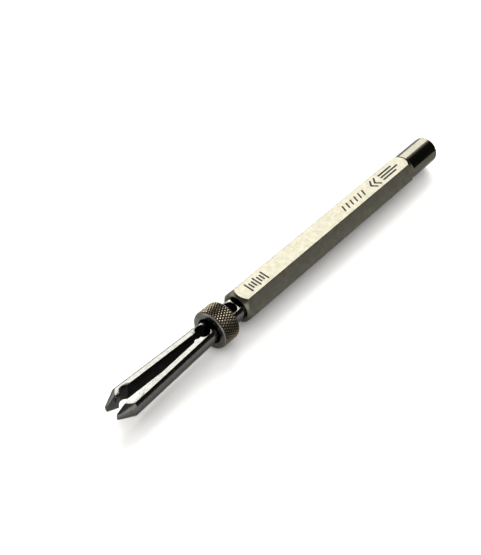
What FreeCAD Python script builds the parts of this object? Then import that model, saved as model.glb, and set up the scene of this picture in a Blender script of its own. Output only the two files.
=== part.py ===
"""Two-point case back opener: a hexagonal handle with a forked steel rod in its front.

A knurled collar slides along the rod and squeezes the two prongs together. A polished
cap turns freely on the rear of the handle, so that a fingertip can press on it while
the handle is twisted.

Every sub-part is drawn in the tool's own axes: X runs along the tool with the points
towards -X, Z is up and leaves the marked face of the handle at a right angle. x = 0 is
the plane where the front bevel reaches the corners of the hexagon. Each Placement then
moves its sub-part into the part's frame, whose origin lies under the middle of the tool
at the level of the collar's lowest line.
"""
import FreeCAD, Part
import os
import re

import Sketcher
from FreeCAD import Vector

# Driving dimensions in millimetres, and the splay in degrees.
DIMENSIONS = {
    # hexagonal handle
    "hex_across_flats": 6.0,
    "hex_length": 52.5,
    "front_bevel_length": 1.0,
    "front_face_radius": 2.68,
    "rear_bevel_length": 1.15,
    "rear_face_radius": 2.95,
    # forked rod
    "rod_radius": 2.2,
    "rod_depth_in_handle": 12.0,
    "flat_height": 1.71,
    "flat_height_at_cone": 1.69,
    "slot_half_width": 0.55,
    "lip_half_gap": 0.2,
    "root_hole_ahead": 2.9,
    "root_hole_radius": 1.31,
    "flexure_ahead": 10.25,
    "flexure_hole_radius": 1.35,
    "flexure_side": 1.775,
    "flexure_gap": 0.02,
    "splay_angle": 2.3,
    # prongs, measured forward from the flexure
    "notch_reach": 18.2,
    "notch_radius": 1.4,
    "notch_offset": 0.45,
    "cone_reach": 19.25,
    "tip_reach": 22.15,
    "tip_radius": 0.75,
    "tip_rounding": 0.2,
    # sliding collar
    "collar_ahead": 8.35,
    "collar_length": 4.0,
    "collar_radius": 3.75,
    "collar_bore_radius": 2.4,
    "collar_bevel": 0.35,
    "collar_bore_bevel": 0.12,
    # grub screw that holds the rod
    "screw_behind": 4.5,
    "screw_radius": 1.0,
    "screw_outer_end": 2.9,
    "screw_shoulder": 2.22,
    "screw_point_end": 1.75,
    "screw_point_radius": 0.5,
    "screw_socket_radius": 0.52,
    "screw_socket_depth": 0.5,
    # rear bore and its bearing
    "bush_bore_radius": 2.0,
    "bush_bore_depth": 7.6,
    "ball_pocket_radius": 1.06,
    "ball_pocket_depth": 1.7,
    "ball_radius": 1.0,
    "bush_length": 5.7,
    "bush_recess": 0.1,
    "bush_inner_radius": 1.28,
    "washer_thickness": 0.18,
    "washer_outer_radius": 2.55,
    "washer_inner_radius": 1.32,
    "axial_clearance": 0.02,
    # cap, its stud and the ring that keeps the stud in
    "cap_radius": 2.9,
    "cap_length": 9.5,
    "cap_front_bevel": 0.15,
    "cap_rear_rounding": 0.6,
    "cap_dish_radius": 7.5,
    "cap_dish_depth": 0.35,
    "stud_radius": 1.25,
    "stud_depth_in_cap": 6.0,
    "stud_end_bevel": 0.15,
    "stud_neck_radius": 0.95,
    "stud_neck_start": 0.55,
    "stud_neck_length": 0.5,
    "ring_outer_radius": 1.75,
    "ring_inner_radius": 0.97,
    "ring_thickness": 0.42,
    "ring_gap_width": 1.0,
}

# Positions worked out from the dimensions, measured along the tool from x = 0.
HANDLE_REAR = "(hex_length + rear_bevel_length)"
CAP_FRONT = f"({HANDLE_REAR} + washer_thickness + axial_clearance)"
CAP_REAR = f"({CAP_FRONT} + cap_length)"
SHOULDER = f"({HANDLE_REAR} - bush_bore_depth)"
BALL_CENTRE = f"({SHOULDER} - ball_pocket_depth + ball_radius)"
STUD_FRONT = f"({BALL_CENTRE} + ball_radius + axial_clearance)"
NECK_FRONT = f"({STUD_FRONT} + stud_neck_start)"
BUSH_REAR = f"({HANDLE_REAR} - bush_recess)"
TIP_AHEAD = (
    "(flexure_ahead + tip_reach * cos(splay_angle * 1deg)"
    " + (flexure_side - lip_half_gap) * sin(splay_angle * 1deg))"
)
FRONT_PLANE_X = f"({TIP_AHEAD} - {CAP_REAR}) / 2"
HEX_CORNER = "(hex_across_flats / sqrt(3))"


doc = FreeCAD.newDocument("case_back_opener")
sheet = doc.addObject("Spreadsheet::Sheet", "Dimensions")
for row, (name, size) in enumerate(DIMENSIONS.items(), start=1):
    sheet.set(f"A{row}", name)
    sheet.set(f"B{row}", str(size))
    sheet.setAlias(f"B{row}", name)
doc.recompute()


def bound(text):
    """Write the names of cells in an expression as references to the sheet."""
    def reference(word):
        name = word.group()
        return f"Dimensions.{name}" if name in DIMENSIONS else name
    return re.sub(r"[a-z_]+", reference, text)


def value(text):
    """Return what an expression comes to now."""
    result = sheet.evalExpression(bound(text))
    return float(getattr(result, "Value", result))


def new_body(label):
    """Start a sub-part as a body that lies along the tool's axis."""
    body = doc.addObject("PartDesign::Body", label)
    body.Label = label
    place(body, FRONT_PLANE_X, "0", "collar_radius")
    return body


def place(item, along, across, above):
    """Bind where a sub-part's own origin lies in the part's frame."""
    item.setExpression(".Placement.Base.x", bound(along))
    item.setExpression(".Placement.Base.y", bound(across))
    item.setExpression(".Placement.Base.z", bound(above))


def new_sketch(body, name, role, offset=None):
    """Add a sketch on one of the body's own planes, moved along its normal if asked."""
    sketch = body.newObject("Sketcher::SketchObject", name)
    plane = next(item for item in body.Origin.OriginFeatures if item.Role == role)
    sketch.AttachmentSupport = [(plane, "")]
    sketch.MapMode = "FlatFace"
    if offset is not None:
        sketch.setExpression(".AttachmentOffset.Base.z", bound(offset))
    return sketch


def fix_point(sketch, geometry, vertex, across, up):
    """Hold a point of a sketch at two expressions measured from its origin."""
    for kind, text in (("DistanceX", across), ("DistanceY", up)):
        index = sketch.addConstraint(
            Sketcher.Constraint(kind, -1, 1, geometry, vertex, value(text))
        )
        sketch.setExpression(f"Constraints[{index}]", bound(text))


def add_outline(sketch, corners):
    """Draw a closed outline of straight sides through corners given as expressions."""
    points = [Vector(value(across), value(up), 0) for across, up in corners]
    first = sketch.GeometryCount
    count = len(points)
    for number, point in enumerate(points):
        sketch.addGeometry(Part.LineSegment(point, points[(number + 1) % count]), False)
    for number in range(count):
        following = first + (number + 1) % count
        sketch.addConstraint(
            Sketcher.Constraint("Coincident", first + number, 2, following, 1)
        )
    for number, (across, up) in enumerate(corners):
        fix_point(sketch, first + number, 1, across, up)


def add_circle(sketch, across, up, radius):
    """Draw a circle whose centre and radius are expressions."""
    centre = Vector(value(across), value(up), 0)
    circle = Part.Circle(centre, Vector(0, 0, 1), value(radius))
    geometry = sketch.addGeometry(circle, False)
    fix_point(sketch, geometry, 3, across, up)
    index = sketch.addConstraint(Sketcher.Constraint("Radius", geometry, value(radius)))
    sketch.setExpression(f"Constraints[{index}]", bound(radius))


def add_rectangle(sketch, left, right, low, high):
    """Draw an upright rectangle between four expressions."""
    add_outline(sketch, [(left, low), (right, low), (right, high), (left, high)])


def turn(body, name, outlines, kind="Revolution"):
    """Turn outlines in the XY plane round the tool's axis, to add or to cut."""
    sketch = new_sketch(body, f"{name}_sketch", "XY_Plane")
    for corners in outlines:
        add_outline(sketch, corners)
    before = body.Shape.Volume if body.Tip else 0
    feature = body.newObject(f"PartDesign::{kind}", name)
    feature.Profile = sketch
    feature.ReferenceAxis = (sketch, ["H_Axis"])
    feature.Angle = 360
    doc.recompute()
    if kind == "Groove" and body.Shape.Volume >= before:
        raise RuntimeError(f"{name} cuts nothing")
    return feature


def extrude(body, name, sketch, length):
    """Add a sketch's outline, raised by an expression's length."""
    feature = body.newObject("PartDesign::Pad", name)
    feature.Profile = sketch
    feature.setExpression("Length", bound(length))
    doc.recompute()
    return feature


def cut(body, name, sketch, depth=None):
    """Cut a sketch to a depth, or right through both ways, and check that it cut."""
    before = body.Shape.Volume
    feature = body.newObject("PartDesign::Pocket", name)
    feature.Profile = sketch
    if depth is None:
        feature.Type = "ThroughAll"
        feature.SideType = "Symmetric"
    else:
        feature.setExpression("Length", bound(depth))
    doc.recompute()
    if body.Shape.Volume >= before:
        raise RuntimeError(f"{name} cuts nothing")
    return feature


def round_rim(body, name, plane, radius):
    """Round the circular edges of the body's last feature that lie in one X plane."""
    base = body.Tip
    rim = [
        f"Edge{number}" for number, edge in enumerate(base.Shape.Edges, start=1)
        if edge.BoundBox.XLength < 0.001 and abs(edge.BoundBox.XMin - value(plane)) < 0.001
    ]
    rounding = body.newObject("PartDesign::Fillet", name)
    rounding.Base = (base, rim)
    rounding.setExpression("Radius", bound(radius))
    doc.recompute()
    return rounding


def make_handle():
    """Hexagonal bar, bevelled round at both ends, bored for the rod and for the bush."""
    body = new_body("hex_handle")
    section = new_sketch(body, "hexagon", "YZ_Plane", "-front_bevel_length")
    half, flat = f"{HEX_CORNER} / 2", "hex_across_flats / 2"
    add_outline(section, [
        (HEX_CORNER, "0"), (half, flat), (f"-{half}", flat),
        (f"-{HEX_CORNER}", "0"), (f"-{half}", f"-{flat}"), (half, f"-{flat}"),
    ])
    extrude(body, "bar", section, "front_bevel_length + hex_length + rear_bevel_length")
    outside = "hex_across_flats"
    turn(body, "bevels", [
        [("-front_bevel_length", "front_face_radius"), ("0", HEX_CORNER),
         ("0", outside), ("-2 * front_bevel_length", outside),
         ("-2 * front_bevel_length", "front_face_radius")],
        [(HANDLE_REAR, "rear_face_radius"), (f"{HANDLE_REAR} + 1", "rear_face_radius"),
         (f"{HANDLE_REAR} + 1", outside), ("hex_length", outside),
         ("hex_length", HEX_CORNER)],
    ], "Groove")
    pocket_floor = f"{SHOULDER} - ball_pocket_depth"
    turn(body, "bores", [
        [("-2 * front_bevel_length", "0"), ("rod_depth_in_handle", "0"),
         ("rod_depth_in_handle", "rod_radius"), ("-2 * front_bevel_length", "rod_radius")],
        [(pocket_floor, "0"), (f"{HANDLE_REAR} + 1", "0"),
         (f"{HANDLE_REAR} + 1", "bush_bore_radius"), (SHOULDER, "bush_bore_radius"),
         (SHOULDER, "ball_pocket_radius"), (pocket_floor, "ball_pocket_radius")],
    ], "Groove")
    thread = new_sketch(body, "screw_hole_circle", "XY_Plane")
    add_circle(thread, "screw_behind", "0", "screw_radius")
    cut(body, "screw_hole", thread, "hex_across_flats")
    return body


def make_shank():
    """Rear of the forked rod: flat on top, slotted between the flexures and the root."""
    body = new_body("fork_shank")
    front = "-flexure_ahead + flexure_gap"
    turn(body, "rod", [[
        (front, "0"), ("rod_depth_in_handle", "0"),
        ("rod_depth_in_handle", "rod_radius - 0.4"),
        ("rod_depth_in_handle - 0.4", "rod_radius"), (front, "rod_radius"),
    ]])
    side = new_sketch(body, "flat_outline", "XZ_Plane")
    add_rectangle(side, "-flexure_ahead - 1", "rod_depth_in_handle + 1",
                  "flat_height", "rod_radius + 1")
    cut(body, "flat", side)
    slot = new_sketch(body, "slot_outline", "XY_Plane")
    add_rectangle(slot, "-flexure_ahead - 1", "-root_hole_ahead",
                  "-slot_half_width", "slot_half_width")
    cut(body, "slot", slot)
    holes = new_sketch(body, "flexure_hole_circle", "XY_Plane")
    add_circle(holes, "-flexure_ahead", "0", "flexure_hole_radius")
    cut(body, "flexure_hole", holes)
    root = new_sketch(body, "root_hole_circle", "XY_Plane")
    add_circle(root, "-root_hole_ahead", "0", "root_hole_radius")
    cut(body, "root_hole", root)
    dimple = body.newObject("PartDesign::SubtractiveCone", "screw_dimple")
    dimple.setExpression("Radius1", bound("screw_radius"))
    dimple.setExpression("Radius2", bound("screw_point_radius"))
    dimple.setExpression("Height", bound("screw_shoulder - screw_point_end"))
    dimple.setExpression(".Placement.Base.x", bound("screw_behind"))
    dimple.setExpression(".Placement.Base.z", bound("-screw_shoulder"))
    doc.recompute()
    return body


def make_prong(label, side):
    """One prong, drawn straight in front of its flexure and then swung outward.

    side is 1 for the prong on the +Y side of the slot and -1 for the other.
    """
    body = doc.addObject("PartDesign::Body", label)
    body.Label = label
    inner = "-3" if side > 0 else "3"
    sign = "" if side > 0 else "-"
    turn(body, f"{label}_rod", [[
        ("-tip_reach", "0"), ("-flexure_gap", "0"), ("-flexure_gap", "rod_radius"),
        ("-cone_reach", "rod_radius"), ("-tip_reach", "tip_radius"),
    ]])
    round_rim(body, f"{label}_tip", "-tip_reach", "tip_rounding")
    half = new_sketch(body, f"{label}_slot_outline", "XY_Plane")
    add_outline(half, [
        ("1", inner), ("1", f"{sign}slot_half_width"),
        ("-notch_reach", f"{sign}slot_half_width"), ("-notch_reach", f"{sign}lip_half_gap"),
        ("-tip_reach - 1", f"{sign}lip_half_gap"), ("-tip_reach - 1", inner),
    ])
    cut(body, f"{label}_slot", half)
    notch = new_sketch(body, f"{label}_notch_circle", "XY_Plane")
    centre = "-notch_offset" if side > 0 else "notch_offset"
    add_circle(notch, "-notch_reach", centre, "notch_radius")
    cut(body, f"{label}_notch", notch)
    hole = new_sketch(body, f"{label}_flexure_circle", "XY_Plane")
    add_circle(hole, "0", "0", "flexure_hole_radius")
    cut(body, f"{label}_flexure_hole", hole)
    top = new_sketch(body, f"{label}_flat_outline", "XZ_Plane")
    add_outline(top, [
        ("1", "flat_height"), ("0", "flat_height"), ("-cone_reach", "flat_height_at_cone"),
        ("-tip_reach - 1", "flat_height_at_cone"), ("-tip_reach - 1", "rod_radius + 1"),
        ("1", "rod_radius + 1"),
    ])
    cut(body, f"{label}_flat", top)
    body.Placement = FreeCAD.Placement(
        Vector(0, 0, 0), FreeCAD.Rotation(Vector(0, 0, -side), value("splay_angle"))
    )
    body.setExpression(".Placement.Rotation.Angle", bound("splay_angle * 1deg"))
    place(
        body,
        f"{FRONT_PLANE_X} - flexure_ahead - flexure_side * sin(splay_angle * 1deg)",
        f"{sign}flexure_side * (1 - cos(splay_angle * 1deg))",
        "collar_radius",
    )
    return body


def make_collar():
    """Sliding collar, bevelled at both ends of its rim and of its bore."""
    body = new_body("knurled_collar")
    front, rear = "-collar_ahead", "(collar_length - collar_ahead)"
    shoulder = "collar_radius - collar_bevel"
    mouth = "collar_bore_radius + collar_bore_bevel"
    turn(body, "ring", [[
        (f"{front} + collar_bore_bevel", "collar_bore_radius"),
        (f"{rear} - collar_bore_bevel", "collar_bore_radius"),
        (rear, mouth), (rear, shoulder), (f"{rear} - collar_bevel", "collar_radius"),
        (f"{front} + collar_bevel", "collar_radius"), (front, shoulder), (front, mouth),
    ]])
    return body


def make_screw():
    """Grub screw with a blunt cone point, driven up into the underside of the rod."""
    body = doc.addObject("PartDesign::Body", "fork_set_screw")
    body.Label = "fork_set_screw"
    place(body, f"{FRONT_PLANE_X} + screw_behind", "0", "collar_radius")
    section = new_sketch(body, "screw_profile", "XZ_Plane")
    add_outline(section, [
        ("0", "-screw_outer_end"), ("screw_radius - 0.1", "-screw_outer_end"),
        ("screw_radius", "-screw_outer_end + 0.1"), ("screw_radius", "-screw_shoulder"),
        ("screw_point_radius", "-screw_point_end"), ("0", "-screw_point_end"),
    ])
    stem = body.newObject("PartDesign::Revolution", "screw_stem")
    stem.Profile = section
    stem.ReferenceAxis = (section, ["V_Axis"])
    stem.Angle = 360
    doc.recompute()
    socket = new_sketch(body, "socket_hexagon", "XY_Plane", "-screw_outer_end - 1")
    corner, half = "screw_socket_radius", "screw_socket_radius / 2"
    flat = "screw_socket_radius * sqrt(3) / 2"
    add_outline(socket, [
        (corner, "0"), (half, flat), (f"-{half}", flat),
        (f"-{corner}", "0"), (f"-{half}", f"-{flat}"), (half, f"-{flat}"),
    ])
    before = body.Shape.Volume
    hollow = body.newObject("PartDesign::Pocket", "socket")
    hollow.Profile = socket
    hollow.Reversed = True
    hollow.setExpression("Length", bound("screw_socket_depth + 1"))
    doc.recompute()
    if body.Shape.Volume >= before:
        raise RuntimeError("socket cuts nothing")
    return body


def make_bush():
    """Plain bronze bush in the rear bore."""
    body = new_body("bearing_bush")
    front = f"{BUSH_REAR} - bush_length"
    turn(body, "sleeve", [[
        (front, "bush_inner_radius"), (BUSH_REAR, "bush_inner_radius"),
        (BUSH_REAR, "bush_bore_radius"), (front, "bush_bore_radius"),
    ]])
    return body


def make_washer():
    """Thin washer between the handle and the cap."""
    body = new_body("thrust_washer")
    rear = f"{HANDLE_REAR} + washer_thickness"
    turn(body, "disc", [[
        (HANDLE_REAR, "washer_inner_radius"), (rear, "washer_inner_radius"),
        (rear, "washer_outer_radius"), (HANDLE_REAR, "washer_outer_radius"),
    ]])
    return body


def make_ball():
    """Steel ball that the end of the stud turns on."""
    ball = doc.addObject("Part::Sphere", "thrust_ball")
    ball.Label = "thrust_ball"
    ball.setExpression("Radius", bound("ball_radius"))
    place(ball, f"{FRONT_PLANE_X} + {BALL_CENTRE}", "0", "collar_radius")
    return ball


def make_stud():
    """Axle of the cap, with a neck for the retaining ring near its front end."""
    body = new_body("cap_stud")
    neck_rear = f"{NECK_FRONT} + stud_neck_length"
    rear = f"{CAP_FRONT} + stud_depth_in_cap"
    turn(body, "axle", [[
        (STUD_FRONT, "0"), (rear, "0"), (rear, "stud_radius - stud_end_bevel"),
        (f"{rear} - stud_end_bevel", "stud_radius"), (neck_rear, "stud_radius"),
        (neck_rear, "stud_neck_radius"), (NECK_FRONT, "stud_neck_radius"),
        (NECK_FRONT, "stud_radius"), (f"{STUD_FRONT} + stud_end_bevel", "stud_radius"),
        (STUD_FRONT, "stud_radius - stud_end_bevel"),
    ]])
    return body


def make_ring():
    """Open spring ring in the stud's neck, which stops the stud behind the bush."""
    body = new_body("stud_retaining_ring")
    slack = "(stud_neck_length - ring_thickness) / 2"
    section = new_sketch(body, "ring_circles", "YZ_Plane", f"{NECK_FRONT} + {slack}")
    add_circle(section, "0", "0", "ring_outer_radius")
    add_circle(section, "0", "0", "ring_inner_radius")
    extrude(body, "wire", section, "ring_thickness")
    opening = new_sketch(body, "opening_outline", "XY_Plane")
    add_rectangle(opening, SHOULDER, BUSH_REAR, "-ring_gap_width / 2", "ring_gap_width / 2")
    cut(body, "opening", opening, "bush_bore_radius")
    return body


def make_cap():
    """Polished cap with a rounded rim and a dished end, bored for its stud."""
    body = new_body("swivel_cap")
    turn(body, "barrel", [[
        (CAP_FRONT, "0"), (CAP_REAR, "0"), (CAP_REAR, "cap_radius"),
        (f"{CAP_FRONT} + cap_front_bevel", "cap_radius"),
        (CAP_FRONT, "cap_radius - cap_front_bevel"),
    ]])
    round_rim(body, "rear_rim", CAP_REAR, "cap_rear_rounding")
    floor = f"{CAP_FRONT} + stud_depth_in_cap"
    turn(body, "stud_bore", [[
        (f"{CAP_FRONT} - 1", "0"), (floor, "0"), (floor, "stud_radius"),
        (f"{CAP_FRONT} - 1", "stud_radius"),
    ]], "Groove")
    dish = body.newObject("PartDesign::SubtractiveSphere", "dish")
    dish.setExpression("Radius", bound("cap_dish_radius"))
    dish.setExpression(
        ".Placement.Base.x", bound(f"{CAP_REAR} + cap_dish_radius - cap_dish_depth")
    )
    doc.recompute()
    return body


SUB_PARTS = [
    make_handle(),
    make_shank(),
    make_prong("left_prong", 1),
    make_prong("right_prong", -1),
    make_collar(),
    make_screw(),
    make_bush(),
    make_washer(),
    make_ball(),
    make_stud(),
    make_ring(),
    make_cap(),
]
doc.recompute()

for item in doc.Objects:
    if {"Invalid", "Error"} & set(item.State):
        raise RuntimeError(f"{item.Label} failed: {item.State}")
for item in SUB_PARTS:
    if item.Shape.isNull() or not item.Shape.isValid() or len(item.Shape.Solids) != 1:
        raise RuntimeError(f"{item.Label} is not one valid solid")

os.makedirs("parts", exist_ok=True)
for item in SUB_PARTS:
    item.Shape.exportStep(f"parts/{item.Label}.step")
    print(f"{item.Label}: {item.Shape.Volume:.3f} mm3")
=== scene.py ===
"""Looks of the two-point case back opener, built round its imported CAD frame.

Shapes are drawn in the tool's own millimetres: x runs from the hexagon's front corners
towards the cap, so the points are at negative x, z is up, and the tool's axis is at
y = z = 0. to_frame() turns such a point into the frame's metres.
"""
import math

import bmesh
import bpy
from mathutils import Matrix, Vector


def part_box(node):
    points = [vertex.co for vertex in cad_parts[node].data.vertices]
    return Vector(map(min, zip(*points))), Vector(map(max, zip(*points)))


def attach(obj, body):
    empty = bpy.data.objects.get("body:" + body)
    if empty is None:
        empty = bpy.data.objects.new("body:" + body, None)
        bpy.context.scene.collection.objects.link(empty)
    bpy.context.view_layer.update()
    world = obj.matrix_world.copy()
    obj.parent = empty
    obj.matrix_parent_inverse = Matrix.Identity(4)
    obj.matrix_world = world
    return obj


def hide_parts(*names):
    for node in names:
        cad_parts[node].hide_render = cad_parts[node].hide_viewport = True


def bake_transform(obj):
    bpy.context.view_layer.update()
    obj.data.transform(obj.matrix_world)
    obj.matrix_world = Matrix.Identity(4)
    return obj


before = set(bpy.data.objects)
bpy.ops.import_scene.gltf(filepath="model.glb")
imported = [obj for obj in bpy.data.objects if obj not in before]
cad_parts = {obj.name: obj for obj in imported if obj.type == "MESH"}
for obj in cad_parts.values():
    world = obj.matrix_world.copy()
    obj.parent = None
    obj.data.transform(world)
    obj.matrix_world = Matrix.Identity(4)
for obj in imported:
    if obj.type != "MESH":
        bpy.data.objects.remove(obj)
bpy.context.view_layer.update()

MM = 0.001

# Sizes of the hexagonal bar, in millimetres.
FRONT_BEVEL = 1.0
REAR_BEVEL = 1.15
FRONT_FACE_RADIUS = 2.68
REAR_FACE_RADIUS = 2.95
CORNER_ROUNDING = 0.1
EDGE_ROUNDING = 0.07
ROD_BORE_DEPTH = 12.0
BUSH_BORE_RADIUS = 2.0
BUSH_BORE_DEPTH = 7.6
BALL_POCKET_RADIUS = 1.06
BALL_POCKET_DEPTH = 1.7
SCREW_HOLE_BEHIND = 4.5
SCREW_HOLE_RADIUS = 1.0
SCREW_HOLE_CUT = 2.0
MARK_HEIGHT = 0.006

# Sizes of the forked rod.
SLOT_HALF_WIDTH = 0.55
LIP_HALF_GAP = 0.2
ROOT_HOLE = (-2.9, 1.31)
FLEXURE_HOLE = (-10.25, 1.35)
FLEXURE_LENGTH = 0.9
SPLAY = math.radians(2.3)
NOTCH_REACH = 18.2
NOTCH_RADIUS = 1.4
NOTCH_OFFSET = 0.45
CONE_REACH = 19.25
TIP_REACH = 22.15
TIP_RADIUS = 0.75
TIP_ROUNDING = 0.2
FLAT_DROP = 0.02
WALL_FACE_HEIGHT = 0.8

# Sizes of the collar's knurl.
TEETH = 44
KNURL_PITCH = 0.94
KNURL_DEPTH = 0.16
KNURL_CREST = 0.15
STEPS_PER_TOOTH = 8
COLLAR_BEVEL = 0.32
COLLAR_BORE_RADIUS = 2.4
# Near each end the knurl's painted groove shade gives way to one even level.
SHADE_MARGIN = 0.25
FACE_SHADE = 0.35
TURNED_FACE_WIDTH = 0.22

# Sizes of the cap.
CAP_RIM_ROUNDING = 0.6
CAP_FRONT_BEVEL = 0.15
CAP_DISH_RADIUS = 7.5
CAP_DISH_DEPTH = 0.35
STUD_RADIUS = 1.25
STUD_DEPTH = 6.0

handle_low, handle_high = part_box("hex_handle")
collar_low, collar_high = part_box("knurled_collar")
shank_low, shank_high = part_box("fork_shank")
cap_low, cap_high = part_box("swivel_cap")

ORIGIN = Vector((
    handle_low.x + FRONT_BEVEL * MM, 0, (collar_low.z + collar_high.z) / 2
))
APOTHEM = (handle_high.z - handle_low.z) / 2 / MM
HEX_CORNER = APOTHEM / math.cos(math.pi / 6)
BAR_REAR = (handle_high.x - ORIGIN.x) / MM
ROD_RADIUS = (shank_high.y - shank_low.y) / 2 / MM
FLAT_HEIGHT = (shank_high.z - ORIGIN.z) / MM
COLLAR_RADIUS = (collar_high.y - collar_low.y) / 2 / MM
COLLAR_FRONT = (collar_low.x - ORIGIN.x) / MM
COLLAR_REAR = (collar_high.x - ORIGIN.x) / MM
CAP_RADIUS = (cap_high.y - cap_low.y) / 2 / MM
CAP_FRONT = (cap_low.x - ORIGIN.x) / MM
CAP_REAR = (cap_high.x - ORIGIN.x) / MM
FLEXURE_SIDE = (FLEXURE_HOLE[1] + ROD_RADIUS) / 2


# --- shapes ---------------------------------------------------------------------------


def to_frame(point):
    """A point in the tool's millimetres, as metres in the frame."""
    return ORIGIN + Vector(point) * MM


def spread(start, end, count):
    """count numbers from start to end, both included."""
    return [start + (end - start) * i / (count - 1) for i in range(count)]


def soften(corners, steps=4):
    """Round the corners of a flat line of (across, up, rounding) points.

    Each corner gives steps + 1 points whatever its rounding, so that lines drawn the
    same way match point for point. The two ends stay as they are.
    """
    line = [Vector(corners[0][:2])]
    for before, here, after in zip(corners, corners[1:], corners[2:]):
        point = Vector(here[:2])
        back, on = Vector(before[:2]) - point, Vector(after[:2]) - point
        reach = 0.0
        if here[2] > 0 and back.length > 1e-6 and on.length > 1e-6:
            half_angle = back.angle(on) / 2
            reach = here[2] / max(math.tan(half_angle), 0.05)
            reach = min(reach, back.length * 0.48, on.length * 0.48)
        start = point + back.normalized() * reach
        end = point + on.normalized() * reach
        for t in spread(0, 1, steps + 1):
            line.append(start * (1 - t) ** 2 + point * 2 * t * (1 - t) + end * t * t)
    line.append(Vector(corners[-1][:2]))
    return [tuple(point) for point in line]


def new_piece(name, points, faces, material, sharp=32, painted_shade=None):
    """A closed mesh object from points in the tool's millimetres."""
    mesh = bpy.data.meshes.new(name)
    mesh.from_pydata([to_frame(point) for point in points], [], faces)
    # Painted shade level at each point, read by the knurl's material; zero unless given.
    shade_layer = mesh.attributes.new("painted_shade", "FLOAT", "POINT")
    shade_layer.data.foreach_set("value", painted_shade or [0.0] * len(points))
    shape = bmesh.new()
    shape.from_mesh(mesh)
    bmesh.ops.remove_doubles(shape, verts=shape.verts, dist=1e-7)
    bmesh.ops.dissolve_degenerate(shape, edges=shape.edges, dist=1e-8)
    bmesh.ops.recalc_face_normals(shape, faces=shape.faces)
    shape.to_mesh(mesh)
    shape.free()
    mesh.shade_smooth()
    mesh.set_sharp_from_angle(angle=math.radians(sharp))
    piece = bpy.data.objects.new(name, mesh)
    bpy.context.scene.collection.objects.link(piece)
    mesh.materials.append(material)
    return piece


def even_normals(piece):
    """Let large flat faces set the shading next to their rounded edges."""
    modifier = piece.modifiers.new("even_normals", "WEIGHTED_NORMAL")
    modifier.keep_sharp = True
    modifier.weight = 50
    return piece


def revolve(profile_at, angles, closed=False):
    """Points and faces of a surface round the tool's axis.

    profile_at(angle) is a line of (x, radius) points, as many at every angle. A closed
    line gives a ring, and an open one has both its ends on the axis.
    """
    lines = [profile_at(angle) for angle in angles]
    count = len(lines[0])
    points = [
        (x, -radius * math.sin(angle), radius * math.cos(angle))
        for angle, line in zip(angles, lines) for x, radius in line
    ]
    faces = []
    for turn in range(len(angles)):
        here, following = turn * count, (turn + 1) % len(angles) * count
        for step in range(count if closed else count - 1):
            ahead = (step + 1) % count
            faces.append((here + step, here + ahead, following + ahead, following + step))
    return points, faces


def split_along_creases(points, faces):
    """Cut each four-sided face along the diagonal whose ends are at one radius."""
    radii = [math.hypot(y, z) for _, y, z in points]
    triangles = []
    for a, b, c, d in faces:
        if abs(radii[a] - radii[c]) <= abs(radii[b] - radii[d]):
            triangles += [(a, b, c), (a, c, d)]
        else:
            triangles += [(b, c, d), (b, d, a)]
    return triangles


# Half the angle that one flat of the bar takes up, between its rounded edges.
hexagon_turn = math.atan(
    (APOTHEM - CORNER_ROUNDING) * math.tan(math.pi / 6) / APOTHEM
)


def hexagon_radius(angle):
    """Distance from the axis to the side of the bar, whose six edges are rounded."""
    sixth = math.pi / 3
    off_face = abs((angle + sixth / 2) % sixth - sixth / 2)
    if off_face <= hexagon_turn:
        return APOTHEM / math.cos(off_face)
    centre = (APOTHEM - CORNER_ROUNDING) / math.cos(sixth / 2)
    off_corner = sixth / 2 - off_face
    across = centre * math.sin(off_corner)
    return centre * math.cos(off_corner) + math.sqrt(CORNER_ROUNDING ** 2 - across ** 2)


def bar_angles():
    """Angles round the bar: even steps over each flat, and close ones over each edge."""
    edge = spread(hexagon_turn, math.pi / 3 - hexagon_turn, 7)[1:-1]
    one_side = spread(-hexagon_turn, hexagon_turn, 19) + edge
    return [side * math.pi / 3 + angle for side in range(6) for angle in one_side]


def bar_profile(angle):
    """Line of the bar from the end of the rod's bore, over the outside, to the ball."""
    side = hexagon_radius(angle)
    slope = FRONT_BEVEL / (HEX_CORNER - FRONT_FACE_RADIUS)
    front_edge = (side - HEX_CORNER) * slope
    slope = REAR_BEVEL / (HEX_CORNER - REAR_FACE_RADIUS)
    rear_edge = BAR_REAR - REAR_BEVEL + (HEX_CORNER - side) * slope
    shoulder = BAR_REAR - BUSH_BORE_DEPTH
    pocket = shoulder - BALL_POCKET_DEPTH
    return soften([
        (ROD_BORE_DEPTH, 0, 0), (ROD_BORE_DEPTH, ROD_RADIUS, 0),
        (-FRONT_BEVEL, ROD_RADIUS, EDGE_ROUNDING),
        (-FRONT_BEVEL, FRONT_FACE_RADIUS, EDGE_ROUNDING),
        (front_edge, side, EDGE_ROUNDING * 1.5), (rear_edge, side, EDGE_ROUNDING * 1.5),
        (BAR_REAR, REAR_FACE_RADIUS, EDGE_ROUNDING),
        (BAR_REAR, BUSH_BORE_RADIUS, EDGE_ROUNDING), (shoulder, BUSH_BORE_RADIUS, 0),
        (shoulder, BALL_POCKET_RADIUS, 0), (pocket, BALL_POCKET_RADIUS, 0),
        (pocket, 0, 0),
    ])


def knurl_radius(angle, x):
    """Distance from the axis to the diamond knurl, cut by two crossing screw threads."""
    turns = TEETH * angle / (2 * math.pi)
    along = (x - (COLLAR_FRONT + COLLAR_REAR) / 2) / KNURL_PITCH
    grooves = [1 - 2 * abs(t - round(t)) for t in (turns + along, turns - along)]
    depth = max(0.0, max(grooves) - KNURL_CREST) / (1 - KNURL_CREST)
    return COLLAR_RADIUS - KNURL_DEPTH * depth


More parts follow.
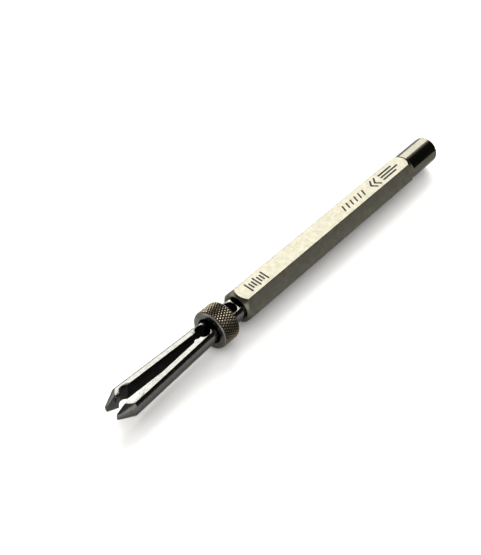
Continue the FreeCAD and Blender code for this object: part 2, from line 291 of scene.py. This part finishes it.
def collar_profile(angle):
    """Closed line of the collar: knurl between two turned bevels, and the bore."""
    middle = (COLLAR_FRONT + COLLAR_REAR) / 2
    row = KNURL_PITCH / STEPS_PER_TOOTH
    rows = int((COLLAR_REAR - COLLAR_FRONT) / 2 / row)
    rim = COLLAR_RADIUS - COLLAR_BEVEL
    outside = []
    for number in range(-rows, rows + 1):
        x = middle + number * row
        bevel = rim + min(x - COLLAR_FRONT, COLLAR_REAR - x) * 1.1
        outside.append((x, min(knurl_radius(angle, x), bevel)))
    ends = []
    for x, inward in ((COLLAR_REAR, -1), (COLLAR_FRONT, 1)):
        end = soften([
            (x + inward * 0.1, rim + 0.11, 0), (x, rim, 0.12),
            (x, COLLAR_BORE_RADIUS + 0.12, 0.05),
            (x + inward * 0.12, COLLAR_BORE_RADIUS, 0.05),
            (x + inward * 1.2, COLLAR_BORE_RADIUS, 0),
        ], 3)[1:]
        ends.append(end)
    return outside + ends[0] + ends[1][::-1]


def cap_profile(_):
    """Line of the cap from the floor of its stud bore, round the outside, to the dish."""
    rim = CAP_RADIUS - CAP_RIM_ROUNDING
    dish_centre = CAP_REAR + CAP_DISH_RADIUS - CAP_DISH_DEPTH
    dish_edge = math.sqrt(CAP_DISH_RADIUS ** 2 - (CAP_DISH_RADIUS - CAP_DISH_DEPTH) ** 2)
    barrel = soften([
        (CAP_FRONT + STUD_DEPTH, 0, 0), (CAP_FRONT + STUD_DEPTH, STUD_RADIUS, 0),
        (CAP_FRONT, STUD_RADIUS, 0.05), (CAP_FRONT, CAP_RADIUS - CAP_FRONT_BEVEL, 0.05),
        (CAP_FRONT + CAP_FRONT_BEVEL, CAP_RADIUS, 0.08),
        (CAP_REAR - CAP_RIM_ROUNDING, CAP_RADIUS, 0),
    ])
    rounding = [
        (CAP_REAR - CAP_RIM_ROUNDING * (1 - math.sin(a)), rim + CAP_RIM_ROUNDING * math.cos(a))
        for a in spread(0, math.pi / 2, 10)[1:]
    ]
    dish = [
        (dish_centre - math.sqrt(CAP_DISH_RADIUS ** 2 - radius ** 2), radius)
        for radius in spread(min(dish_edge, rim - 0.02), 0, 10)
    ]
    return barrel + rounding + dish


def wall(x):
    """Half width of the slot and its holes at x, before the prongs are splayed."""
    half = 0.0
    for centre, radius in (ROOT_HOLE, FLEXURE_HOLE):
        if abs(x - centre) < radius:
            half = max(half, math.sqrt(radius ** 2 - (x - centre) ** 2))
    notch = FLEXURE_HOLE[0] - NOTCH_REACH
    if notch <= x <= ROOT_HOLE[0]:
        half = max(half, SLOT_HALF_WIDTH)
    if x < notch:
        half = LIP_HALF_GAP
    if abs(x - notch) < NOTCH_RADIUS:
        half = max(half, math.sqrt(NOTCH_RADIUS ** 2 - (x - notch) ** 2) - NOTCH_OFFSET)
    return half


def circle_stations(centre, radius, low=0.0, high=math.pi, count=19):
    """Places along x that follow a round hole in even steps of angle."""
    return [centre + radius * math.cos(a) for a in spread(low, high, count)]


def fork_stations():
    """(x, radius) along the rod, from its rear end to the tip of a prong."""
    base = FLEXURE_HOLE[0]
    outside = soften([
        (ROD_BORE_DEPTH, ROD_RADIUS - 0.4, 0), (ROD_BORE_DEPTH - 0.4, ROD_RADIUS, 0),
        (base - CONE_REACH, ROD_RADIUS, 0.5), (base - TIP_REACH, TIP_RADIUS, TIP_ROUNDING),
        (base - TIP_REACH, 0, 0),
    ], 6)[:-1]
    notch = base - NOTCH_REACH
    slot = math.asin(SLOT_HALF_WIDTH / ROOT_HOLE[1])
    mouth = math.asin(SLOT_HALF_WIDTH / FLEXURE_HOLE[1])
    notch_rear = math.asin((SLOT_HALF_WIDTH + NOTCH_OFFSET) / NOTCH_RADIUS)
    notch_front = math.pi - math.asin((LIP_HALF_GAP + NOTCH_OFFSET) / NOTCH_RADIUS)
    places = circle_stations(*ROOT_HOLE, 0, math.pi - slot)
    places += circle_stations(*FLEXURE_HOLE, mouth, math.pi - mouth)
    places += circle_stations(notch, NOTCH_RADIUS, notch_rear, notch_front)
    places += spread(ROD_BORE_DEPTH - 1, ROOT_HOLE[0] + ROOT_HOLE[1] + 0.3, 5)
    places += spread(base - 2, notch + 2, 12)
    places += spread(base - CONE_REACH, base - TIP_REACH + 0.2, 14)
    places += [x for x, _ in outside]
    places = sorted(set(round(x, 5) for x in places), reverse=True)
    places = [x for x, gap in zip(places, places[1:]) if x - gap > 0.004] + places[-1:]
    stations = []
    for x in places:
        before = [point for point in outside if point[0] >= x - 1e-5][-1]
        after = [point for point in outside if point[0] <= x + 1e-5][0]
        share = (before[0] - x) / max(before[0] - after[0], 1e-9)
        stations.append((x, before[1] + (after[1] - before[1]) * min(max(share, 0), 1)))
    stations[-1] = (places[-1], outside[-1][1])
    return stations


def fork_section(x, radius):
    """Closed outline (y, z) of one half of the rod: flat top, round side, slot wall."""
    inner = min(wall(x), radius - 0.01)
    flat = FLAT_HEIGHT
    if x < FLEXURE_HOLE[0]:
        flat -= FLAT_DROP * (FLEXURE_HOLE[0] - x) / CONE_REACH
    top = min(flat, math.sqrt(radius ** 2 - inner ** 2))
    low = -math.sqrt(radius ** 2 - inner ** 2)
    first, last = math.atan2(top, math.sqrt(radius ** 2 - top ** 2)), math.atan2(low, inner)
    rounding = EDGE_ROUNDING if inner > 0.05 else 0.0
    arc = [
        (radius * math.cos(a), radius * math.sin(a), 0)
        for a in spread(first, last, 27)
    ]
    corners = [(inner, (top + low) / 2, 0), (inner, top, rounding)]
    corners += [(arc[0][0], arc[0][1], EDGE_ROUNDING * 0.8)] + arc[1:-1]
    corners += [(arc[-1][0], arc[-1][1], rounding), (inner, (top + low) / 2, 0)]
    return soften(corners, 3)[:-1]


def paint_slot_shade(half):
    """Paint shade on a half's inner side: black shade in the slot and holes, grey shade in the
    notch.

    Its faces are the only four-sided ones taller than WALL_FACE_HEIGHT.
    """
    # Both added materials are painted shade, used in place of the blade steel on these walls.
    half.data.materials.append(slot_painted_shade)
    half.data.materials.append(notch_painted_shade)
    notch_rear = FLEXURE_HOLE[0] - NOTCH_REACH + NOTCH_RADIUS
    notch_front = FLEXURE_HOLE[0] - NOTCH_REACH - NOTCH_RADIUS
    for face in half.data.polygons:
        heights = [half.data.vertices[index].co.z for index in face.vertices]
        tall = max(heights) - min(heights) > WALL_FACE_HEIGHT * MM
        x = (face.center.x - ORIGIN.x) / MM
        if len(heights) <= 4 and tall:
            if x > notch_rear:
                face.material_index = 1
            elif x > notch_front:
                face.material_index = 2


def make_fork_half(name, side, material):
    """One half of the fork, from inside the bar to its point. side is 1 for +Y."""
    points, faces = [], []
    stations = fork_stations()
    sections = [fork_section(x, radius) for x, radius in stations]
    count = len(sections[0])
    for (x, _), section in zip(stations, sections):
        share = (FLEXURE_HOLE[0] + FLEXURE_LENGTH - x) / (2 * FLEXURE_LENGTH)
        share = min(max(share, 0.0), 1.0)
        angle = -SPLAY * share * share * (3 - 2 * share)
        for y, z in section:
            arm = Vector((x - FLEXURE_HOLE[0], y - FLEXURE_SIDE, 0))
            arm.rotate(Matrix.Rotation(angle, 3, "Z"))
            points.append((FLEXURE_HOLE[0] + arm.x, side * (FLEXURE_SIDE + arm.y), z))
    for row in range(len(sections) - 1):
        here, ahead = row * count, (row + 1) * count
        for step in range(count):
            following = (step + 1) % count
            faces.append((here + step, here + following, ahead + following, ahead + step))
    faces.append(tuple(range(count)))
    faces.append(tuple(range((len(sections) - 1) * count, len(sections) * count)))
    half = new_piece(name, points, faces, material, 36)
    paint_slot_shade(half)
    return even_normals(half)


def stroke(shape, start, end, width, height):
    """Add a mark with round ends to a bmesh, standing on the marked flat."""
    start, end = Vector(start), Vector(end)
    along = math.atan2(end.y - start.y, end.x - start.x)
    outline = []
    for centre, turn in ((end, along), (start, along + math.pi)):
        for a in spread(-math.pi / 2, math.pi / 2, 7):
            edge = Vector((math.cos(turn + a), math.sin(turn + a))) * width / 2
            outline.append(centre + edge)
    rings = [
        [shape.verts.new(to_frame((point.x, point.y, APOTHEM + z))) for point in outline]
        for z in (-0.02, height)
    ]
    shape.faces.new(rings[1])
    shape.faces.new(rings[0][::-1])
    for number in range(len(outline)):
        after = (number + 1) % len(outline)
        shape.faces.new((
            rings[0][number], rings[0][after], rings[1][after], rings[1][number]
        ))


# --- materials ------------------------------------------------------------------------

# Depth of the finest lines left by grinding and turning, in millimetres.
GRAIN_DEPTH = 0.0001


class Finish:
    """A procedural material under construction, with the tool's own coordinates."""

    def __init__(self, name, metallic=1.0):
        self.material = bpy.data.materials.new(name)
        self.material.use_nodes = True
        self.tree = self.material.node_tree
        self.shader = self.tree.nodes["Principled BSDF"]
        self.shader.inputs["Metallic"].default_value = metallic
        self.shader.inputs["Specular Tint"].default_value = (0.55, 0.55, 0.55, 1.0)
        self.place = self.tree.nodes.new("ShaderNodeTexCoord").outputs["Object"]

    def noise(self, scale, detail=3.0, roughness=0.5):
        """Soft noise. scale is how many grains fit in a millimetre along x, y and z."""
        mapping = self.tree.nodes.new("ShaderNodeMapping")
        mapping.inputs["Scale"].default_value = [grains / MM for grains in scale]
        texture = self.tree.nodes.new("ShaderNodeTexNoise")
        texture.inputs["Scale"].default_value = 1.0
        texture.inputs["Detail"].default_value = detail
        texture.inputs["Roughness"].default_value = roughness
        self.tree.links.new(self.place, mapping.inputs["Vector"])
        self.tree.links.new(mapping.outputs["Vector"], texture.inputs["Vector"])
        return texture.outputs["Fac"]

    def ramp(self, factor, stops):
        """Colours at places from 0 to 1 along a factor."""
        node = self.tree.nodes.new("ShaderNodeValToRGB")
        elements = node.color_ramp.elements
        while len(elements) < len(stops):
            elements.new(0.5)
        for element, (position, colour) in zip(elements, stops):
            element.position = position
            element.color = (*colour, 1.0)
        self.tree.links.new(factor, node.inputs["Fac"])
        return node.outputs["Color"]

    def span(self, factor, low, high, start=0.3, end=0.7):
        """A number that goes from low to high as the factor goes from start to end."""
        node = self.tree.nodes.new("ShaderNodeMapRange")
        for socket, number in (
            ("From Min", start), ("From Max", end), ("To Min", low), ("To Max", high)
        ):
            node.inputs[socket].default_value = number
        self.tree.links.new(factor, node.inputs["Value"])
        return node.outputs["Result"]

    def mix(self, factor, first, second):
        """Two colours mixed by a factor."""
        node = self.tree.nodes.new("ShaderNodeMix")
        node.data_type = "RGBA"
        for socket, source in (
            (node.inputs[0], factor), (node.inputs[6], first), (node.inputs[7], second)
        ):
            if isinstance(source, (int, float)):
                socket.default_value = source
            elif isinstance(source, tuple):
                socket.default_value = (*source, 1.0)
            else:
                self.tree.links.new(source, socket)
        return node.outputs[2]

    def maths(self, kind, first, second):
        """One sum on a factor and a number or another factor."""
        node = self.tree.nodes.new("ShaderNodeMath")
        node.operation = kind
        for socket, source in zip(node.inputs, (first, second)):
            if isinstance(source, (int, float)):
                socket.default_value = source
            else:
                self.tree.links.new(source, socket)
        return node.outputs[0]

    def attribute(self, name):
        """A number stored on the mesh's points."""
        node = self.tree.nodes.new("ShaderNodeAttribute")
        node.attribute_name = name
        return node.outputs["Fac"]

    def bump(self, height, depth):
        """Relief of that depth in millimetres."""
        node = self.tree.nodes.new("ShaderNodeBump")
        node.inputs["Distance"].default_value = depth * MM
        self.tree.links.new(height, node.inputs["Height"])
        self.tree.links.new(node.outputs["Normal"], self.shader.inputs["Normal"])

    def set(self, socket, source):
        """Give the shader's socket a number, a colour or another node's output."""
        target = self.shader.inputs[socket]
        if isinstance(source, (int, float)):
            target.default_value = source
        elif isinstance(source, tuple):
            target.default_value = (*source, 1.0)
        else:
            self.tree.links.new(source, target)


def drawn_metal(name, dark, light, rough, mottle=(0.9, 0.9, 0.9)):
    """Bar metal drawn and ground along its length, with cloudy tone and fine lines."""
    finish = Finish(name)
    cloud = finish.noise(mottle, 4, 0.6)
    lines = finish.noise((0.25, 14, 14), 3, 0.6)
    tone = finish.mix(0.35, cloud, lines)
    finish.set("Base Color", finish.ramp(tone, [(0.36, dark), (0.64, light)]))
    finish.set("Roughness", finish.span(tone, rough[1], rough[0]))
    finish.bump(lines, GRAIN_DEPTH)
    return finish.material


def turned_metal(name, dark, light, rough):
    """Metal turned in a lathe: fine rings round the tool's axis under a cloudy tone."""
    finish = Finish(name)
    cloud = finish.noise((0.7, 0.7, 0.7), 4, 0.6)
    rings = finish.noise((12, 0.4, 0.4), 3, 0.6)
    tone = finish.mix(0.4, cloud, rings)
    finish.set("Base Color", finish.ramp(tone, [(0.36, dark), (0.64, light)]))
    finish.set("Roughness", finish.span(tone, rough[1], rough[0]))
    finish.bump(rings, GRAIN_DEPTH)
    return finish.material


def knurled_metal(name):
    """Plated knurl: pale crests, with painted shade darkening it to dark brown down in the
    grooves, and uneven grime noise.
    """
    finish = Finish(name)
    depth = finish.attribute("painted_shade")
    grime = finish.noise((2.2, 2.2, 2.2), 5, 0.65)
    # Painted shade from the groove depth, plus grime noise.
    groove_shade_and_grime = finish.maths("ADD", depth, finish.maths("MULTIPLY", grime, 0.7))
    colour = finish.ramp(groove_shade_and_grime, [
        (0.30, (0.34, 0.31, 0.24)), (0.60, (0.12, 0.10, 0.07)), (1.0, (0.02, 0.017, 0.012)),
    ])
    finish.set("Base Color", colour)
    finish.set("Roughness", finish.span(groove_shade_and_grime, 0.22, 0.6, 0.3, 1.1))
    finish.bump(grime, 0.001)
    return finish.material


def laser_black(name):
    """Matt oxide left by a marking laser, with tiny uneven pits."""
    finish = Finish(name, 0.0)
    pits = finish.noise((9, 9, 9), 4, 0.7)
    colour = finish.ramp(pits, [(0.3, (0.003, 0.003, 0.003)), (0.75, (0.02, 0.019, 0.016))])
    finish.set("Base Color", colour)
    finish.set("Roughness", finish.span(pits, 0.5, 0.8))
    finish.set("Specular IOR Level", 0.1)
    finish.bump(pits, 0.002)
    return finish.material


def pale_floor(name):
    """Pale smooth table top with a hardly visible tone."""
    finish = Finish(name, 0.0)
    cloud = finish.noise((0.02, 0.02, 0.02), 2, 0.5)
    finish.set("Base Color", finish.ramp(cloud, [
        (0.3, (0.54, 0.54, 0.536)), (0.7, (0.58, 0.58, 0.576)),
    ]))
    finish.set("Roughness", 0.9)
    finish.set("Specular IOR Level", 0.0)
    return finish.material


nickel = drawn_metal("satin_nickel", (0.070, 0.067, 0.053), (0.086, 0.083, 0.067), (0.14, 0.22))
blade_steel = drawn_metal(
    "blade_steel", (0.06, 0.06, 0.056), (0.088, 0.088, 0.083), (0.13, 0.22), (1.6, 2.2, 2.2)
)
chrome = turned_metal("chrome_cap", (0.055, 0.052, 0.042), (0.072, 0.069, 0.056), (0.14, 0.2))
collar_steel = turned_metal("collar_steel", (0.08, 0.079, 0.074), (0.12, 0.118, 0.11), (0.16, 0.3))
knurl_steel = knurled_metal("knurled_steel")
# Painted shade: a dark grey for the blade's notch walls.
notch_painted_shade = turned_metal("notch_painted_shade", (0.02, 0.02, 0.019), (0.032, 0.032, 0.03), (0.3, 0.4))
# Painted shade: near black for the blade's slot and hole walls.
slot_painted_shade = turned_metal("slot_painted_shade", (0.004, 0.004, 0.004), (0.012, 0.012, 0.011), (0.45, 0.6))
black_steel = turned_metal("black_steel", (0.02, 0.02, 0.021), (0.05, 0.05, 0.052), (0.3, 0.45))
bronze = turned_metal("bronze", (0.42, 0.25, 0.10), (0.62, 0.40, 0.19), (0.2, 0.35))
bearing_steel = turned_metal("bearing_steel", (0.45, 0.45, 0.46), (0.6, 0.6, 0.61), (0.08, 0.16))


# --- pieces ---------------------------------------------------------------------------

bar_points, bar_faces = revolve(bar_profile, bar_angles())
bar = new_piece("handle_bar", bar_points, bar_faces, nickel, 36)

drill = bmesh.new()
bmesh.ops.create_cone(
    drill, cap_ends=True, segments=64, radius1=SCREW_HOLE_RADIUS * MM,
    radius2=SCREW_HOLE_RADIUS * MM, depth=SCREW_HOLE_CUT * MM,
    matrix=Matrix.Translation(to_frame((SCREW_HOLE_BEHIND, 0, -APOTHEM))),
)
drill_mesh = bpy.data.meshes.new("drill")
drill.to_mesh(drill_mesh)
drill.free()
drill_piece = bpy.data.objects.new("drill", drill_mesh)
bpy.context.scene.collection.objects.link(drill_piece)
hole = bar.modifiers.new("screw_hole", "BOOLEAN")
hole.operation = "DIFFERENCE"
hole.solver = "EXACT"
hole.object = drill_piece
bpy.context.view_layer.update()
graph = bpy.context.evaluated_depsgraph_get()
drilled = bpy.data.meshes.new_from_object(bar.evaluated_get(graph))
bar.modifiers.clear()
bar.data = drilled
bar.data.shade_smooth()
bar.data.set_sharp_from_angle(angle=math.radians(36))
bpy.data.objects.remove(drill_piece)
even_normals(bar)
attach(bar, "handle")
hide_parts("hex_handle")

for label, side in (("left", 1), ("right", -1)):
    half = make_fork_half(f"{label}_fork_half", side, blade_steel)
    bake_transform(half)
    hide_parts(f"{label}_prong", "fork_shank")

collar_angles = spread(0, 2 * math.pi, TEETH * STEPS_PER_TOOTH + 1)[:-1]
collar_points, collar_faces = revolve(collar_profile, collar_angles, closed=True)
# Painted shade: 0 on the knurl's crests up to 1 at the bottom of its grooves, and one even level
# near the ends.
collar_painted_shade = [
    min(1.0, max(0.0, (COLLAR_RADIUS - math.hypot(y, z)) / KNURL_DEPTH))
    if COLLAR_FRONT + SHADE_MARGIN < x < COLLAR_REAR - SHADE_MARGIN else FACE_SHADE
    for x, y, z in collar_points
]
collar_ring = new_piece(
    "knurled_ring", collar_points, split_along_creases(collar_points, collar_faces),
    knurl_steel, 24, collar_painted_shade,
)
collar_ring.data.materials.append(collar_steel)
for face in collar_ring.data.polygons:
    x = (face.center.x - ORIGIN.x) / MM
    if min(x - COLLAR_FRONT, COLLAR_REAR - x) < TURNED_FACE_WIDTH:
        face.material_index = 1
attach(collar_ring, "collar")
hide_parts("knurled_collar")

cap_points, cap_faces = revolve(cap_profile, spread(0, 2 * math.pi, 129)[:-1])
cap = even_normals(new_piece("cap_shell", cap_points, cap_faces, chrome, 36))
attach(cap, "cap")
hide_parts("swivel_cap")

marks = bmesh.new()
for number in range(7):
    x = 2.2 + number * 0.75
    reach = 0.95 if number % 3 == 0 else 0.55
    stroke(marks, (x, -reach), (x, reach), 0.38, MARK_HEIGHT)
for number in range(6):
    x = 31.6 + number * 1.35
    stroke(marks, (x, -0.55), (x + 0.5, 0.55), 0.4, MARK_HEIGHT)
for x in (41.4, 42.7):
    for sign in (-1, 1):
        stroke(marks, (x, 0), (x + 0.95, sign * 0.95), 0.42, MARK_HEIGHT)
for number, length in enumerate((4.4, 5.8, 4.4)):
    y = (number - 1) * 0.72
    stroke(marks, (45.0, y), (45.0 + length, y), 0.4, MARK_HEIGHT)
marks_mesh = bpy.data.meshes.new("laser_marks")
marks.to_mesh(marks_mesh)
marks.free()
marks_mesh.materials.append(laser_black("laser_black"))
laser_marks = bpy.data.objects.new("laser_marks", marks_mesh)
bpy.context.scene.collection.objects.link(laser_marks)
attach(laser_marks, "handle")

for node, material in {
    "fork_set_screw": black_steel,
    "stud_retaining_ring": black_steel,
    "bearing_bush": bronze,
    "thrust_washer": bronze,
    "thrust_ball": bearing_steel,
    "cap_stud": bearing_steel,
}.items():
    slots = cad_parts[node].material_slots
    for slot in slots:
        slot.material = material


# --- floor, light and camera ----------------------------------------------------------

FLOOR_SIZE = 1.6
FLOOR_GAP = 0.02
floor_mesh = bpy.data.meshes.new("floor")
floor_shape = bmesh.new()
bmesh.ops.create_grid(floor_shape, x_segments=8, y_segments=8, size=FLOOR_SIZE / 2)
floor_shape.to_mesh(floor_mesh)
floor_shape.free()
floor_mesh.materials.append(pale_floor("pale_floor"))
floor = bpy.data.objects.new("floor", floor_mesh)
bpy.context.scene.collection.objects.link(floor)
floor.location.z = collar_low.z - FLOOR_GAP * MM


def softbox(name, azimuth, elevation, distance, size, strength, colour, roll=0):
    """A soft lamp round the tool's middle. Azimuth is from +X towards +Y, in degrees."""
    width, height = size
    lamp = bpy.data.lights.new(name, "AREA")
    lamp.shape = "RECTANGLE"
    lamp.size, lamp.size_y = width, height
    lamp.energy = strength * width * height * math.pi
    lamp.color = colour
    item = bpy.data.objects.new(name, lamp)
    bpy.context.scene.collection.objects.link(item)
    a, e = math.radians(azimuth), math.radians(elevation)
    away = Vector((math.cos(a) * math.cos(e), math.sin(a) * math.cos(e), math.sin(e)))
    item.location = away * distance
    item.rotation_mode = "QUATERNION"
    turn = Matrix.Rotation(math.radians(roll), 3, "Z").to_quaternion()
    item.rotation_quaternion = away.to_track_quat("Z", "Y") @ turn
    return item


WARM_WHITE = (1.0, 0.985, 0.95)
softbox("key", 43, 32, 0.65, (0.66, 0.46), 12.0, WARM_WHITE, roll=44)
softbox("halo", 43, 36, 0.75, (1.0, 0.8), 1.0, WARM_WHITE, roll=44)
fill = softbox("fill", 205, 72, 0.6, (0.8, 0.8), 2.8, (1.0, 1.0, 1.0))
fill.visible_glossy = False

WALL_LIGHT = 2.6
CEILING_LIGHT = 0.32
DARK_SIDE_LIGHT = 0.05
BACKDROP_LIGHT = 0.92


def studio_world():
    """Pale studio walls round the tool, apart from a dark side beyond the cap's end."""
    studio = bpy.data.worlds.new("studio")
    studio.use_nodes = True
    tree = studio.node_tree
    link = tree.links.new
    walls = tree.nodes["Background"]
    walls.inputs["Color"].default_value = (1.0, 0.98, 0.95, 1.0)
    axes = tree.nodes.new("ShaderNodeSeparateXYZ")
    link(tree.nodes.new("ShaderNodeTexCoord").outputs["Generated"], axes.inputs[0])

    def fade(axis, start, end, low, high):
        node = tree.nodes.new("ShaderNodeMapRange")
        node.interpolation_type = "SMOOTHSTEP"
        for socket, number in (
            ("From Min", start), ("From Max", end), ("To Min", low), ("To Max", high)
        ):
            node.inputs[socket].default_value = number
        link(axes.outputs[axis], node.inputs["Value"])
        return node.outputs["Result"]

    strength = tree.nodes.new("ShaderNodeMath")
    strength.operation = "MULTIPLY_ADD"
    link(fade("X", 0.1, 0.4, 1.0, 0.0), strength.inputs[0])
    link(fade("Z", 0.42, 0.6, WALL_LIGHT, CEILING_LIGHT), strength.inputs[1])
    strength.inputs[2].default_value = DARK_SIDE_LIGHT
    link(strength.outputs[0], walls.inputs["Strength"])
    backdrop = tree.nodes.new("ShaderNodeBackground")
    backdrop.inputs["Strength"].default_value = BACKDROP_LIGHT
    choice = tree.nodes.new("ShaderNodeMixShader")
    link(tree.nodes.new("ShaderNodeLightPath").outputs["Is Camera Ray"], choice.inputs[0])
    link(walls.outputs[0], choice.inputs[1])
    link(backdrop.outputs[0], choice.inputs[2])
    link(choice.outputs[0], tree.nodes["World Output"].inputs["Surface"])
    return studio


bpy.context.scene.world = studio_world()
bpy.context.scene.view_settings.view_transform = "Standard"

CAMERA_AZIMUTH = math.radians(-146.397)
CAMERA_ELEVATION = math.radians(44.946)
CAMERA_ROLL = math.radians(-7.512)
CAMERA_DISTANCE = 188.9
CAMERA_AIM = (4.142, 3.314, 1.838)
camera_data = bpy.data.cameras.new("camera")
camera_data.sensor_width = 36
camera_data.lens = 68.108
camera = bpy.data.objects.new("camera", camera_data)
bpy.context.scene.collection.objects.link(camera)
back = Vector((
    math.cos(CAMERA_AZIMUTH) * math.cos(CAMERA_ELEVATION),
    math.sin(CAMERA_AZIMUTH) * math.cos(CAMERA_ELEVATION),
    math.sin(CAMERA_ELEVATION),
))
camera.location = to_frame(Vector(CAMERA_AIM) + back * CAMERA_DISTANCE)
camera.rotation_mode = "QUATERNION"
level = (-back).to_track_quat("-Z", "Y")
camera.rotation_quaternion = Matrix.Rotation(-CAMERA_ROLL, 3, back).to_quaternion() @ level
camera_data.clip_start = 0.01
bpy.context.scene.camera = camera
